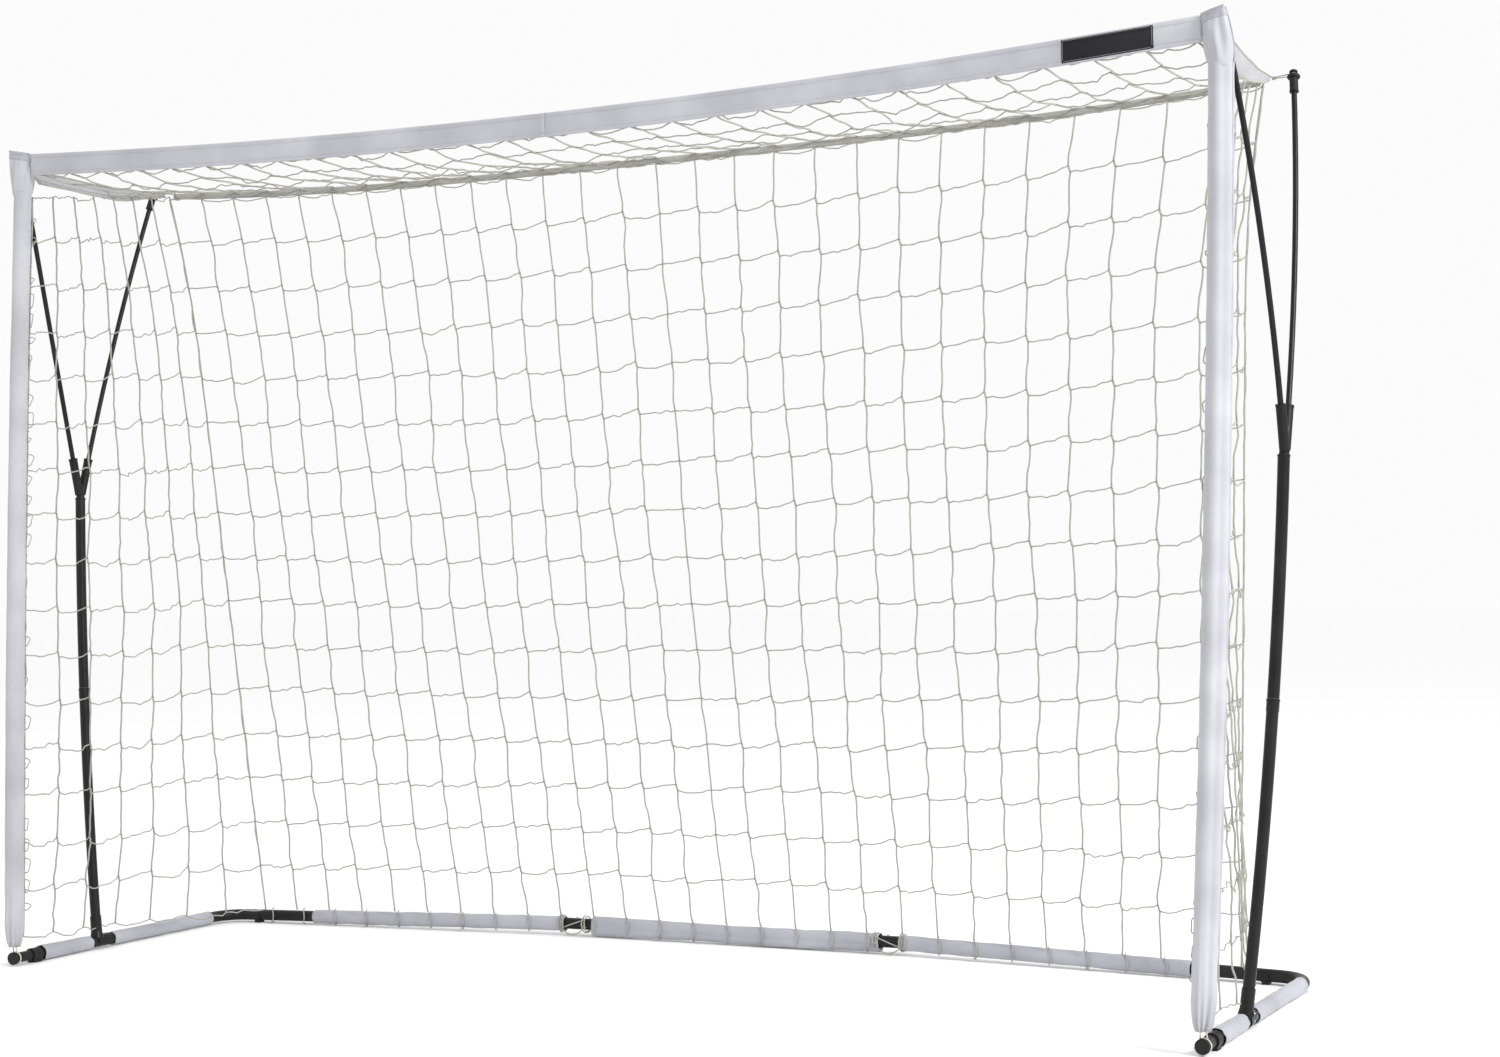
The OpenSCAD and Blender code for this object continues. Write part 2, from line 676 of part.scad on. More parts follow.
module side_net() {
    lean = atan((side_x[1] - side_x[0]) / (net_z[1] - net_z[0]));
    color([0.9, 0.9, 0.87]) translate([side_x[0], 0, net_z[0]]) rotate([90, 0, 90]) rotate([0, lean, 0])
        net([44, back_y[0] - 20], [150, back_y[1] - 14], (net_z[1] - net_z[0]) / cos(lean), 4, net_rows);
}

module roof_net() {
    half = half_w - 28;
    z = [bar_top - bar_sag - bar_h + 16, strap_z];
    y = [bar_y + 14, back_y[1] - 6];
    tilt = atan((z[1] - z[0]) / (y[1] - y[0]));
    color([0.9, 0.9, 0.87]) translate([0, y[0] - y_mid, z[0]]) rotate([tilt, 0, 0])
        net([-half, half], [-half, half], (y[1] - y[0]) / cos(tilt), round(2 * half / mesh_size), 2);
}

right_side() rear_tube();
socket_rivets();
rear_middle_sleeve();
crossbar_sleeve();
crossbar_patch();
rear_strap();
back_net();
roof_net();
for (s = SIDES) {
    on_side(s) rail();
    on_side(s) rear_spigot();
    on_side(s) front_stub();
    on_side(s) end_cap();
    on_side(s) front_foot();
    on_side(s) rear_foot();
    on_side(s) socket();
    on_side(s) button();
    on_side(s) button_spring();
    on_side(s) lower_upright();
    on_side(s) upright_spigot();
    on_side(s) upper_upright();
    on_side(s) y_connector();
    on_side(s) front_rod();
    on_side(s) rear_rod();
    on_side(s) rod_tip();
    on_side(s) cord_knob();
    on_side(s) tie_cord();
    on_side(s) post_sleeve();
    on_side(s) post_loop();
    on_side(s) corner_pocket();
    on_side(s) gusset();
    on_side(s) rail_sleeve(front_sleeve);
    on_side(s) rail_sleeve(rear_sleeve);
    on_side(s) rear_bar_sleeve();
    on_side(s) side_net();
}
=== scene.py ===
import math

import bpy
import numpy as np
from mathutils import Matrix, Vector, noise


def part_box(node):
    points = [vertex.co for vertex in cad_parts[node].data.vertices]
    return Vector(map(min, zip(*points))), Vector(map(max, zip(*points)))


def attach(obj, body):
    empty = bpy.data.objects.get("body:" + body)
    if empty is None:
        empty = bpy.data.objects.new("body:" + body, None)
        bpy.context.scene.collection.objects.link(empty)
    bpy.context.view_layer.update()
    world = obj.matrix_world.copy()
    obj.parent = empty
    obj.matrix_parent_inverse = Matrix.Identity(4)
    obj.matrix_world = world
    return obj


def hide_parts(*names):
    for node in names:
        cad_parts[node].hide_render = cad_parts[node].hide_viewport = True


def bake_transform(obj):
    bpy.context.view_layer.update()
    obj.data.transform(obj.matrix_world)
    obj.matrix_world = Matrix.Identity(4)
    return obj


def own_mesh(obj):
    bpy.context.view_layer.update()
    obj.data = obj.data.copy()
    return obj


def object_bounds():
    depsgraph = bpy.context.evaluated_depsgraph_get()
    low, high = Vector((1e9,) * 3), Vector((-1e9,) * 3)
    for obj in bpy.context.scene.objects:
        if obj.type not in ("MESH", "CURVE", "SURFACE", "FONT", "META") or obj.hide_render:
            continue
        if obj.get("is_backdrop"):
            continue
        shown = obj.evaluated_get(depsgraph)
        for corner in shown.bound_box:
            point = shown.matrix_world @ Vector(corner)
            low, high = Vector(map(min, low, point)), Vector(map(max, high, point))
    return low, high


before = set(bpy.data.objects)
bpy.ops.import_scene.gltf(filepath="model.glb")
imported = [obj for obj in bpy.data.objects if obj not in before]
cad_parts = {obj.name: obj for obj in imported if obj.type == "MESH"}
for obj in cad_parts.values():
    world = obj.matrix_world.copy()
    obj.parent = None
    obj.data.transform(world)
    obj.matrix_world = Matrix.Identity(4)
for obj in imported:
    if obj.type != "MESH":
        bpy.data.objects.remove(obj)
cad_low, cad_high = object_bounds()
rng = np.random.default_rng(7)

# ---------------------------------------------------------------- places, in metres, from the frame

SIDES = (("left", -1.0), ("right", 1.0))
CAP_LOW, CAP_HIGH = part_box("right_end_cap")
RAIL_X = (CAP_LOW.x + CAP_HIGH.x) / 2
RAIL_Z = (CAP_LOW.z + CAP_HIGH.z) / 2
CAP_Y = CAP_LOW.y
TUBE_LOW, TUBE_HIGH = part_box("rear_tube")
BAR_Y = (TUBE_LOW.y + TUBE_HIGH.y) / 2
BAR_Z = (TUBE_LOW.z + TUBE_HIGH.z) / 2
BAR_SEAM = TUBE_HIGH.x
RAIL_LENGTH = 0.832
CORNER_Y = CAP_Y + RAIL_LENGTH
SLEEVE_R = (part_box("right_front_rail_sleeve")[1].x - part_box("right_front_rail_sleeve")[0].x) / 2
POST_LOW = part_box("right_post_sleeve")[0]
POST_R = 0.025
POST_FOOT = np.array([POST_LOW.x + POST_R, POST_LOW.y + POST_R, POST_LOW.z])
POST_HEAD = np.array([RAIL_X + 0.042, CAP_Y + 0.117, 1.979])
POST_BOW = 0.009
BAND_LOW, BAND_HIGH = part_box("crossbar_sleeve")
BAND_END = BAND_HIGH.x
BAND_Y = (BAND_LOW.y + BAND_HIGH.y) / 2
BAND_TOP = BAND_HIGH.z
BAND_SAG = 0.045
BAND_H = 0.054
STRAP_LOW, STRAP_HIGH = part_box("rear_strap")
STRAP_Y = (STRAP_LOW.y + STRAP_HIGH.y) / 2
STRAP_H = 0.016
PATCH_LOW, PATCH_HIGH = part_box("crossbar_patch")
EAR_OUT = np.array([RAIL_X + 0.0585, CAP_Y + 0.087, cad_high.z - 0.001])
EAR_IN = np.array([RAIL_X + 0.009, CAP_Y + 0.103, BAND_TOP + 0.001])
TWINE_R = 0.0016
UPRIGHT_TWINE_R = 0.0022
MESH_COLUMNS = 27
MESH_ROWS = 16
JOIN_HALF = 0.0024


def lerp(a, b, t):
    """A point between a and b."""
    return np.asarray(a, float) * (1 - t) + np.asarray(b, float) * t


def band_top(x):
    """The height of the sagging crossbar's top edge."""
    return BAND_TOP - BAND_SAG * (1 - (x / BAND_END) ** 2)


def strap_mid(x):
    """The height of the rear strap's middle, which lifts towards its ends."""
    return STRAP_LOW.z + STRAP_H / 2 + (STRAP_HIGH.z - STRAP_LOW.z - STRAP_H) * abs(x / STRAP_HIGH.x) ** 3


def bar_point(x):
    """A point on the axis of the rear leg or the rear tube."""
    if abs(x) <= BAR_SEAM:
        return np.array([x, BAR_Y, BAR_Z])
    t = (abs(x) - BAR_SEAM) / (RAIL_X - BAR_SEAM)
    return np.array([x, BAR_Y + (CORNER_Y - BAR_Y) * t, BAR_Z + (RAIL_Z - BAR_Z) * t])


def post_point(t):
    """A point on the axis of the right post, 0 at its foot and 1 at its head."""
    p = lerp(POST_FOOT, POST_HEAD, t)
    p[0] += POST_BOW * 4 * t * (1 - t)
    return p


# ---------------------------------------------------------------- mesh helpers

class Shape:
    """Vertices and faces that grow as parts are added."""

    def __init__(self):
        self.points, self.faces, self.tags = [], [], []
        self.count = 0

    def add(self, points, faces, tag=0):
        """Adds faces whose corners count from the first of the new points. tag picks the material."""
        self.points.append(np.asarray(points, float))
        self.faces += [tuple(i + self.count for i in f) for f in faces]
        self.tags += [tag] * len(faces)
        self.count += len(points)

    def object(self, name, materials, side=1.0, smooth=True):
        """Makes the piece. A negative side mirrors it to the left."""
        co = np.concatenate(self.points)
        co = co * np.array([side, 1, 1])
        faces = self.faces if side > 0 else [tuple(reversed(f)) for f in self.faces]
        mesh = bpy.data.meshes.new(name)
        mesh.from_pydata(co.tolist(), [], faces)
        mesh.update()
        for material in materials:
            mesh.materials.append(material)
        mesh.polygons.foreach_set("use_smooth", [smooth] * len(mesh.polygons))
        mesh.polygons.foreach_set("material_index", self.tags)
        piece = bpy.data.objects.new(name, mesh)
        bpy.context.scene.collection.objects.link(piece)
        return piece


def frames(path, closed=False, side=None):
    """Tangents and two cross directions along a path, carried without twist."""
    p = np.asarray(path, float)
    t = (np.roll(p, -1, 0) - np.roll(p, 1, 0)) if closed else np.gradient(p, axis=0)
    t /= np.linalg.norm(t, axis=1)[:, None] + 1e-12
    first = np.array(side if side is not None else ([0, 0, 1] if abs(t[0][2]) < 0.9 else [1, 0, 0]), float)
    n = np.empty_like(t)
    last = first
    for i, d in enumerate(t):
        last = last - d * (last @ d)
        last = last / (np.linalg.norm(last) + 1e-12)
        n[i] = last
    return t, n, np.cross(t, n)


def ring_faces(rows, sides, closed=False):
    """The faces between rings of points that follow one another."""
    faces = []
    for i in range(rows if closed else rows - 1):
        a, b = i * sides, ((i + 1) % rows) * sides
        for k in range(sides):
            j = (k + 1) % sides
            faces.append((a + k, a + j, b + j, b + k))
    return faces


def sweep(shape, path, radius, sides=6, closed=False, tag=0, side=None):
    """A tube along a path. radius is a number or one for each point."""
    p = np.asarray(path, float)
    _, n, b = frames(p, closed, side)
    angles = np.arange(sides) * 2 * np.pi / sides
    r = np.broadcast_to(np.asarray(radius, float), (len(p),))
    ring = np.cos(angles)[None, :, None] * n[:, None, :] + np.sin(angles)[None, :, None] * b[:, None, :]
    points = (p[:, None, :] + ring * r[:, None, None]).reshape(-1, 3)
    faces = ring_faces(len(p), sides, closed)
    if not closed:
        faces.append(tuple(reversed(range(sides))))
        faces.append(tuple(range((len(p) - 1) * sides, len(p) * sides)))
    shape.add(points, faces, tag)


def skin(shape, rows, tag=0, cap=True):
    """Joins closed rings of equal count, each an array of points."""
    sides = len(rows[0])
    faces = ring_faces(len(rows), sides)
    if cap:
        faces.append(tuple(reversed(range(sides))))
        faces.append(tuple(range((len(rows) - 1) * sides, len(rows) * sides)))
    shape.add(np.concatenate(rows), faces, tag)


def lined(shape, rows, wall, tag=0):
    """Cloth with a thickness: the outer rings, the same rings drawn in, and a rim at both ends."""
    inner = []
    for ring in rows:
        middle = ring.mean(0)
        away = ring - middle
        inner.append(ring - away / (np.linalg.norm(away, axis=1)[:, None] + 1e-9) * wall)
    both = list(rows) + inner[::-1]
    shape.add(np.concatenate(both), ring_faces(len(both), len(rows[0]), closed=True), tag)


def rough(p, size, seed=0.0):
    """Smooth noise from -1 to 1 at a point."""
    return noise.noise(Vector((p[0] / size + seed, p[1] / size - seed, p[2] / size)))


def stitches(shape, path, normal, length=0.0042, gap=0.0016, radius=0.00045, tag=0):
    """A row of short threads that lie along a path and just above it."""
    p = np.asarray(path, float)
    s = np.concatenate([[0], np.cumsum(np.linalg.norm(np.diff(p, axis=0), axis=1))])
    at = np.arange(gap, s[-1] - length, length + gap)
    shares = ((0.0, -0.2), (0.25, 0.9), (0.75, 0.9), (1.0, -0.2))
    for a in at:
        thread = [np.array([np.interp(a + u * length, s, p[:, k]) for k in range(3)])
                  + np.asarray(normal) * radius * h for u, h in shares]
        sweep(shape, thread, radius, 4, tag=tag)


# ---------------------------------------------------------------- materials

def new_material(name, base, roughness, metallic=0.0, specular=0.5, sheen=0.0):
    """Gives a new material with its node tree and its shader."""
    m = bpy.data.materials.new(name)
    m.use_nodes = True
    shader = m.node_tree.nodes["Principled BSDF"]
    shader.inputs["Base Color"].default_value = (*base, 1)
    shader.inputs["Roughness"].default_value = roughness
    shader.inputs["Metallic"].default_value = metallic
    shader.inputs["Specular IOR Level"].default_value = specular
    shader.inputs["Sheen Weight"].default_value = sheen
    return m, m.node_tree, shader


def node(tree, kind, **values):
    """A shader node. Each value sets one of its properties or, if it has none of that name, an input."""
    n = tree.nodes.new(kind)
    for key, value in values.items():
        if hasattr(n, key):
            setattr(n, key, value)
        else:
            n.inputs[key.replace("_", " ")].default_value = value
    return n


def coords(tree):
    """The piece's own coordinates, which move with it."""
    return node(tree, "ShaderNodeTexCoord").outputs["Object"]


def noise_map(tree, scale, detail=3.0, roughness=0.5):
    """Soft random patches from 0 to 1."""
    n = node(tree, "ShaderNodeTexNoise", Scale=scale, Detail=detail, Roughness=roughness)
    tree.links.new(coords(tree), n.inputs["Vector"])
    return n.outputs["Fac"]


def span(tree, value, low, high, to_low, to_high):
    """Maps one range of values to another."""
    n = node(tree, "ShaderNodeMapRange")
    for i, v in zip((1, 2, 3, 4), (low, high, to_low, to_high)):
        n.inputs[i].default_value = v
    tree.links.new(value, n.inputs[0])
    return n.outputs[0]


def two_tone(tree, factor, dark, light):
    """A mix of two colours."""
    n = node(tree, "ShaderNodeMix", data_type="RGBA")
    n.inputs[6].default_value = (*dark, 1)
    n.inputs[7].default_value = (*light, 1)
    tree.links.new(factor, n.inputs[0])
    return n.outputs[2]


def bump(tree, shader, height, strength, distance, after=None):
    """Raises the surface by a height map, on top of an earlier bump if one is given."""
    n = node(tree, "ShaderNodeBump", Strength=strength, Distance=distance)
    tree.links.new(height, n.inputs["Height"])
    if after is not None:
        tree.links.new(after, n.inputs["Normal"])
    tree.links.new(n.outputs["Normal"], shader.inputs["Normal"])
    return n.outputs["Normal"]


def wave(tree, direction, scale, distortion=0.0):
    """Parallel bands, used as threads."""
    n = node(tree, "ShaderNodeTexWave", wave_type="BANDS", bands_direction=direction, Scale=scale,
             Distortion=distortion)
    tree.links.new(coords(tree), n.inputs["Vector"])
    return n.outputs["Fac"]


def product(tree, a, b, operation="MULTIPLY"):
    """The product of two maps, or another sum on them."""
    n = node(tree, "ShaderNodeMath", operation=operation)
    tree.links.new(a, n.inputs[0])
    tree.links.new(b, n.inputs[1])
    return n.outputs[0]


def coated(name, base, light, roughness, grain, depth):
    """Black paint or moulded plastic: fine grain, scuffed roughness and a faint dusty tone."""
    m, tree, shader = new_material(name, base, roughness, specular=0.22)
    dust = span(tree, noise_map(tree, 9.0, 5.0), 0.35, 0.75, 0.0, 1.0)
    tree.links.new(two_tone(tree, dust, base, light), shader.inputs["Base Color"])
    tree.links.new(span(tree, noise_map(tree, 60.0), 0.3, 0.7, roughness - 0.07, roughness + 0.1),
                   shader.inputs["Roughness"])
    bump(tree, shader, noise_map(tree, grain, 2.0), 0.35, depth)
    return m


def plated(name):
    """Bright plated steel with a fine grain."""
    m, tree, shader = new_material(name, (0.55, 0.55, 0.56), 0.34, metallic=1.0)
    tree.links.new(span(tree, noise_map(tree, 400.0), 0.3, 0.7, 0.24, 0.46), shader.inputs["Roughness"])
    bump(tree, shader, noise_map(tree, 900.0), 0.2, 0.0002)
    return m


def cloth(name, dark, light, scale=420.0, sheen=0.25):
    """Plain-weave cloth: crossing threads, slight unevenness of tone, and a soft sheen."""
    m, tree, shader = new_material(name, light, 0.78, specular=0.25, sheen=sheen)
    warp = wave(tree, "Z", scale, 1.2)
    weft = wave(tree, "DIAGONAL", scale * 0.8, 1.2)
    weave = product(tree, warp, weft, "ADD")
    tone = span(tree, noise_map(tree, 7.0, 4.0), 0.3, 0.7, 0.0, 1.0)
    fine = span(tree, weave, 0.2, 1.8, 0.3, 1.0)
    tree.links.new(two_tone(tree, product(tree, tone, fine), dark, light), shader.inputs["Base Color"])
    first = bump(tree, shader, weave, 0.35, 0.0003)
    bump(tree, shader, noise_map(tree, 28.0, 3.0), 0.3, 0.003, first)
    return m


def cord_cloth(name, dark, light, scale):
    """Braided cord: tight diagonal plaits, with painted shade darkening the valleys between them."""
    m, tree, shader = new_material(name, light, 0.72, specular=0.3, sheen=0.2)
    plait = wave(tree, "DIAGONAL", scale, 3.0)
    # painted shade: the plait valleys are drawn darker; the stains are random tone
    valley_shade = span(tree, plait, 0.0, 0.6, 0.35, 1.0)
    stains = span(tree, noise_map(tree, 35.0), 0.3, 0.7, 0.6, 1.0)
    # the tone holds both the painted valley shade and the random stains
    tone = product(tree, valley_shade, stains)
    tree.links.new(two_tone(tree, tone, dark, light), shader.inputs["Base Color"])
    bump(tree, shader, plait, 0.5, 0.0004)
    return m


BLACK_TUBE = coated("black_powder_coat", (0.006, 0.006, 0.0065), (0.014, 0.014, 0.0145), 0.36, 1400.0,
                    0.00015)
BLACK_PLASTIC = coated("black_moulded", (0.006, 0.006, 0.006), (0.014, 0.014, 0.014), 0.46, 2200.0, 0.0002)
BLACK_ROD = coated("black_resin_rod", (0.006, 0.006, 0.0065), (0.012, 0.012, 0.0125), 0.34, 800.0, 0.0001)
STEEL = plated("zinc_plate")
WHITE_CLOTH = cloth("white_cloth", (0.375, 0.379, 0.408), (0.53, 0.537, 0.57))
SLEEVE_CLOTH = cloth("sleeve_cloth", (0.325, 0.333, 0.368), (0.47, 0.48, 0.52))
SOFT_WHITE = cloth("gusset_cloth", (0.33, 0.33, 0.345), (0.47, 0.47, 0.49))
SEAM_CLOTH = cloth("seam_cloth", (0.26, 0.26, 0.30), (0.38, 0.38, 0.43))
HEM_CLOTH = cloth("hem_cloth", (0.30, 0.30, 0.34), (0.44, 0.44, 0.49))
PATCH_CLOTH = cloth("patch_cloth", (0.008, 0.008, 0.010), (0.022, 0.022, 0.026), 700.0, 0.05)
THREAD = cord_cloth("sewing_thread", (0.30, 0.30, 0.33), (0.48, 0.48, 0.52), 900.0)
PATCH_THREAD = cord_cloth("patch_thread", (0.20, 0.20, 0.21), (0.34, 0.34, 0.35), 900.0)
TWINE = cord_cloth("net_twine", (0.20, 0.197, 0.172), (0.42, 0.413, 0.365), 260.0)
ELASTIC = cord_cloth("elastic_cord", (0.52, 0.48, 0.36), (0.80, 0.77, 0.64), 500.0)
WEBBING = cloth("webbing", (0.28, 0.28, 0.255), (0.44, 0.43, 0.40), 520.0)

SLOTS = {
    BLACK_TUBE: ["rail", "lower_upright", "upper_upright", "socket", "front_stub", "rear_tube"],
    BLACK_PLASTIC: ["end_cap", "front_foot", "rear_foot", "y_connector", "rod_tip", "cord_knob"],
    BLACK_ROD: ["front_rod", "rear_rod"],
    STEEL: ["rear_spigot", "upright_spigot", "button", "button_spring", "socket_rivets"],
}
for material, ends in SLOTS.items():
    for name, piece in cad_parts.items():
        if name in ends or name.split("_", 1)[1] in ends:
            piece.data.materials.clear()
            piece.data.materials.append(material)


# ---------------------------------------------------------------- cloth tubes: posts and sleeves

WALL = 0.0012
SEAM_ANGLE, SEAM_HIGH = 0.09, 0.0012
PUCKER, PUCKER_SIZE = 0.0011, 0.045
POST_STEPS, POST_SIDES = 190, 68
FLANGE_START = 14
FLANGE_OUT = np.array([0.93, 0.37, 0.0])
FLANGE_ACROSS = np.array([-0.37, 0.93, 0.0])
FLANGE_WIDE, FLANGE_THICK = 0.0062, 0.0018


def cloth_tube(shape, path, radius, sides, crease, seed, side=(0, 0, 1), seam=0.0, tag=0, low=None):
    """A sewn tube of cloth with folds. crease(s, angle) adds to the radius; low is the floor under it."""
    p = np.asarray(path, float)
    _, n, b = frames(p, side=side)
    angles = np.arange(sides) * 2 * np.pi / sides
    rows = []
    for i in range(len(p)):
        s = i / (len(p) - 1)
        ring = []
        for a in angles:
            d = np.cos(a) * n[i] + np.sin(a) * b[i]
            r = radius(s) + crease(s, a)
            r += SEAM_HIGH * math.exp(-(math.remainder(a - seam, 2 * math.pi) / SEAM_ANGLE) ** 2)
            r += PUCKER * rough(p[i] + d * r, PUCKER_SIZE, seed)
            spot = p[i] + d * r
            if low is not None:
                spot[2] = max(spot[2], low)
            ring.append(spot)
        rows.append(np.array(ring))
    lined(shape, rows, WALL, tag)


def post(side_name, side, seed):
    """The post's sewn tube: gathered at its foot, with a flat seam flange that faces outward."""
    shape = Shape()
    path = [post_point(t) for t in np.linspace(0.0, 0.972, POST_STEPS)]
    gather = 0.030

    def radius(s):
        low = min(1.0, s / gather)
        return 0.0125 + (POST_R - 0.0140) * low ** 0.55

    def crease(s, a):
        close = math.exp(-(s / (gather * 1.1)) ** 1.5)
        pleats = 0.0024 * close * math.cos(13 * a + 2.2 * math.sin(3 * a + seed))
        fade = math.exp(-(s / 0.085) ** 1.5)
        reach = 0.0010 * fade * math.cos(11 * a + 2.0 * math.sin(2 * a + seed) + 6 * s)
        long = 0.0012 * math.cos(2 * a + 3.0 * s + seed) - 0.0048 * max(0.0, math.cos(a - 0.75)) ** 10
        pull = 0.0010 * math.exp(-(1 - s) / 0.05) * math.cos(4 * a + seed)
        return pleats + reach + long + pull

    cloth_tube(shape, path, radius, POST_SIDES, crease, seed, side=(0, -1, 0), seam=2.9)
    hem = [path[1] + 0.0128 * np.array([math.cos(a), math.sin(a), 0.0])
           for a in np.linspace(0, 2 * math.pi, 25)[:-1]]
    sweep(shape, hem, 0.0016, 6, closed=True, tag=1)
    flange = []
    thick = FLANGE_ACROSS * FLANGE_THICK / 2
    for p in path[FLANGE_START:]:
        root = p + FLANGE_OUT * (POST_R - 0.0035)
        edge = root + FLANGE_OUT * (FLANGE_WIDE + 0.0008 * math.sin(p[2] * 31 + seed))
        flange.append(np.array([root - thick, edge - thick, edge + thick, root + thick]))
    skin(shape, flange, tag=0)
    piece = shape.object(f"{side_name}_post_cloth", [WHITE_CLOTH, SEAM_CLOTH], side)
    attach(piece, f"{side_name}_upright")
    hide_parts(f"{side_name}_post_sleeve")


def sleeve(name, node_name, path, seed, slack=0.0, flare=0.0, side=1.0):
    """A cloth sleeve over a tube of the ground frame. slack lets it hang, flare opens its first end."""
    shape = Shape()

    def radius(s):
        return SLEEVE_R - 0.0012 + flare * math.exp(-s / 0.45)

    def crease(s, a):
        hang = slack * max(0.0, -math.cos(a)) ** 1.2 * (0.85 + 0.15 * math.sin(9 * s + seed))
        top = 0.35 * slack * max(0.0, math.cos(a)) ** 2 * (0.5 + 0.5 * math.sin(5 * s + seed))
        ends = 0.0012 * (math.exp(-s / 0.03) + math.exp(-(1 - s) / 0.03)) * math.cos(6 * a + seed)
        folds = 0.0009 * math.cos(3 * a + 26 * s + 4 * math.sin(7 * s + seed))
        tuck = -0.0035 * math.exp(-(math.remainder(a - 2.0, 2 * math.pi) / 0.25) ** 2) * (slack > 0)
        return min(0.0, ends + folds) + hang + top + tuck

    cloth_tube(shape, path, radius, 36, crease, seed, side=(0, 0, 1), seam=-2.3, low=0.0022)
    piece = shape.object(name, [SLEEVE_CLOTH], side)
    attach(piece, "base")
    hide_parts(node_name)


def line(a, b, count):
    """Evenly spaced points from a to b."""
    return [lerp(a, b, t) for t in np.linspace(0, 1, count)]


for name, side in SIDES:
    post(name, side, 1.3 if side > 0 else 4.1)
    for part in ("front_rail_sleeve", "rear_rail_sleeve"):
        low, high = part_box(f"right_{part}")
        ends = [np.array([RAIL_X, y, RAIL_Z]) for y in (low.y, high.y)]
        flare = 0.0028 if part == "front_rail_sleeve" else 0.0
        sleeve(f"{name}_{part}_cloth", f"{name}_{part}", line(*ends, 60), 2.0 + side,
               flare=flare, side=side)
    low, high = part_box("right_rear_bar_sleeve")
    sleeve(f"{name}_rear_bar_cloth", f"{name}_rear_bar_sleeve",
           [bar_point(x) for x in np.linspace(high.x - 0.002, low.x + 0.002, 120)], 5.0 + side,
           slack=0.002, side=side)
low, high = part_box("rear_middle_sleeve")
sleeve("rear_middle_cloth", "rear_middle_sleeve",
       [bar_point(x) for x in np.linspace(low.x, high.x, 140)], 8.0, slack=0.0125)


# ---------------------------------------------------------------- crossbar, patch and strap

TOP_SEAM, FOOT_SEAM = 0.0106, 0.0462
BAND_DOWNS = (0.0, 0.002, 0.006, 0.0098, TOP_SEAM, 0.0125, 0.022, 0.034, 0.044, FOOT_SEAM, 0.048, 0.052,
              BAND_H)
BAND_DEPTHS = (0.0014, 0.0036, 0.0054, 0.0042, 0.0030, 0.0037, 0.0046, 0.0046, 0.0036, 0.0026, 0.0031, 0.0028,
               0.0014)


def band_sway(x):
    """A slow drift of the slack crossbar cloth to the front and back."""
    return 0.0015 * rough((x, 0, 0), 0.22, 3.0)


def band_side(x, down, face):
    """How far a face of the crossbar stands from its middle plane: -1 is the front, 1 the back."""
    middle = math.sin(math.pi * down / BAND_H)
    fold = 0.0018 * middle * rough((x, down, face), 0.05, 1.0)
    pull = 0.0012 * middle * math.exp(-(BAND_END - abs(x)) / 0.09) * math.sin(160 * x + 90 * down)
    return BAND_Y + face * np.interp(down, BAND_DOWNS, BAND_DEPTHS) + band_sway(x) + fold + pull


def band_ring(x):
    """The crossbar's cross-section at x: a rolled top, a flat face, and a sewn hem at the foot."""
    top = band_top(x)
    ring = [[x, band_side(x, d, -1), top - d] for d in BAND_DOWNS]
    ring += [[x, band_side(x, d, 1), top - d] for d in reversed(BAND_DOWNS)]
    return np.array(ring)


def blend_x(piece):
    """Bakes the piece's placement into its mesh."""
    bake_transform(piece)


for name, side in SIDES:
    shape = Shape()
    xs = np.linspace(0.0, BAND_END, 230)
    lined(shape, [band_ring(side * x) * np.array([side, 1, 1]) for x in xs], 0.0009)
    for down in (TOP_SEAM, FOOT_SEAM):
        seam = [[x, band_side(side * x, down, -1), band_top(x) - down] for x in xs]
        stitches(shape, seam, (0, -1, 0), tag=1)
    piece = shape.object(f"{name}_crossbar_cloth", [WHITE_CLOTH, THREAD], side)
    blend_x(piece)
    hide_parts("crossbar_sleeve")

    shape = Shape()
    rows = []
    for x in np.linspace(0.0, STRAP_HIGH.x, 120):
        z, y = strap_mid(x), STRAP_Y + 0.001 * rough((x, 1, 0), 0.2)
        rows.append(np.array([[x, y - 0.0008, z - STRAP_H / 2], [x, y - 0.0014, z - STRAP_H / 4],
                              [x, y - 0.0010, z], [x, y - 0.0014, z + STRAP_H / 4],
                              [x, y - 0.0008, z + STRAP_H / 2], [x, y + 0.0008, z + STRAP_H / 2],
                              [x, y + 0.0012, z], [x, y + 0.0008, z - STRAP_H / 2]]))
    skin(shape, rows, cap=False)
    piece = shape.object(f"{name}_strap_webbing", [WEBBING], side)
    blend_x(piece)
    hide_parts("rear_strap")


